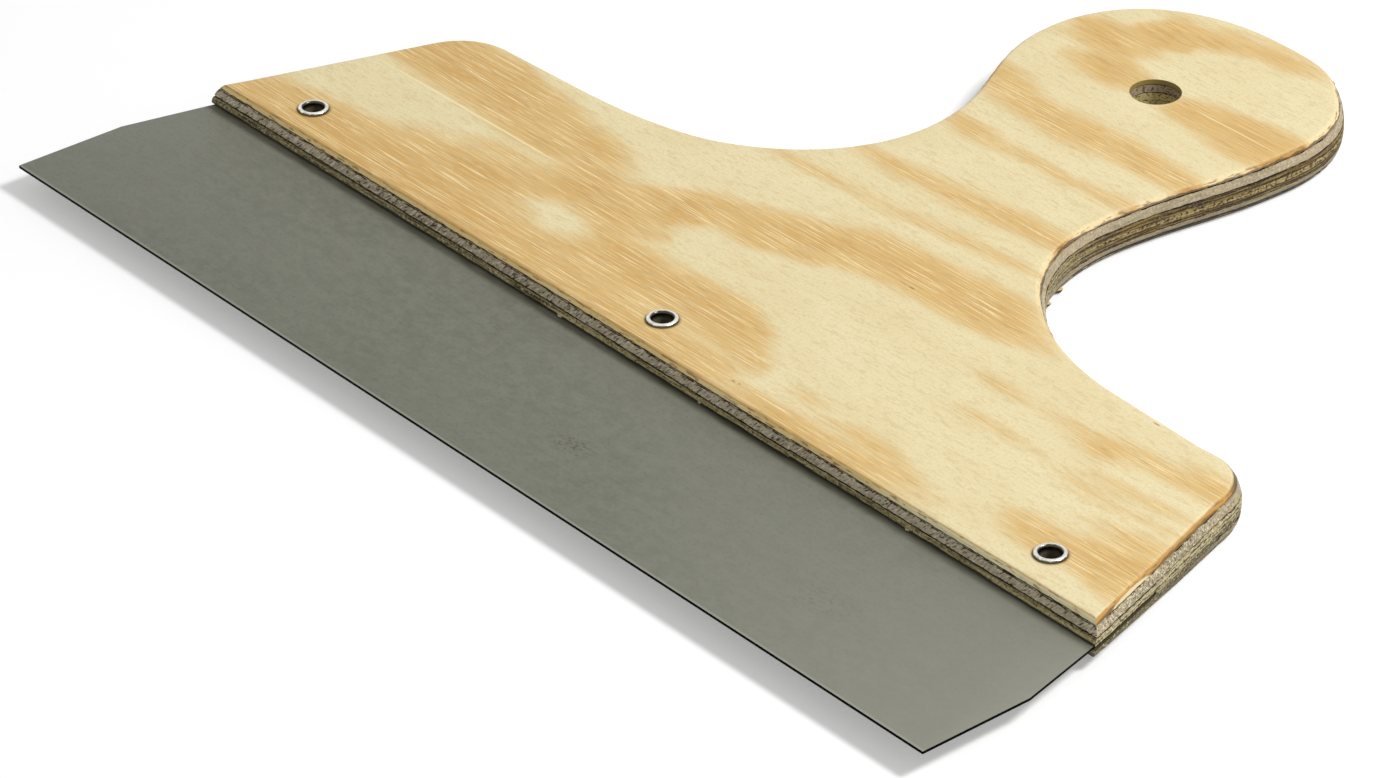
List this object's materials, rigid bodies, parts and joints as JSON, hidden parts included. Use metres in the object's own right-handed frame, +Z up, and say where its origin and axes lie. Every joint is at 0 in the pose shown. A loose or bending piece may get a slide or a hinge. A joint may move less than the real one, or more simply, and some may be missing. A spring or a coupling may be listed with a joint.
{
  "type": "filling knife",
  "caption": "Wide flat-steel filling knife with a T-shaped plywood handle, the blade set in a saw kerf and held by hollow rivets, hang hole in the knob.",
  "frame": {"origin": "bottom centre of the bounding box, with the underside of the plywood on Z = 0", "axes": "+X along the blade to its right end, +Y from the working edge towards the knob, +Z up through the board"},
  "size_m": [0.25, 0.2097, 0.0096],
  "materials": {
    "pine_face": "sanded rotary-cut pine veneer",
    "pine_crossband": "sawn cross grain",
    "pine_core": "sawn long grain",
    "spring_steel": "matte cold-rolled",
    "nickel_plate": "bright nickel plate"
  },
  "bodies": {
    "root": {"bottom_face_veneer": "pine_face", "lower_crossband": "pine_crossband", "lower_core_ply": "pine_core", "upper_core_ply": "pine_core", "upper_crossband": "pine_crossband", "top_face_veneer": "pine_face", "blade": "spring_steel", "rivet_left": "nickel_plate", "rivet_middle": "nickel_plate", "rivet_right": "nickel_plate"}
  },
  "joints": []
}
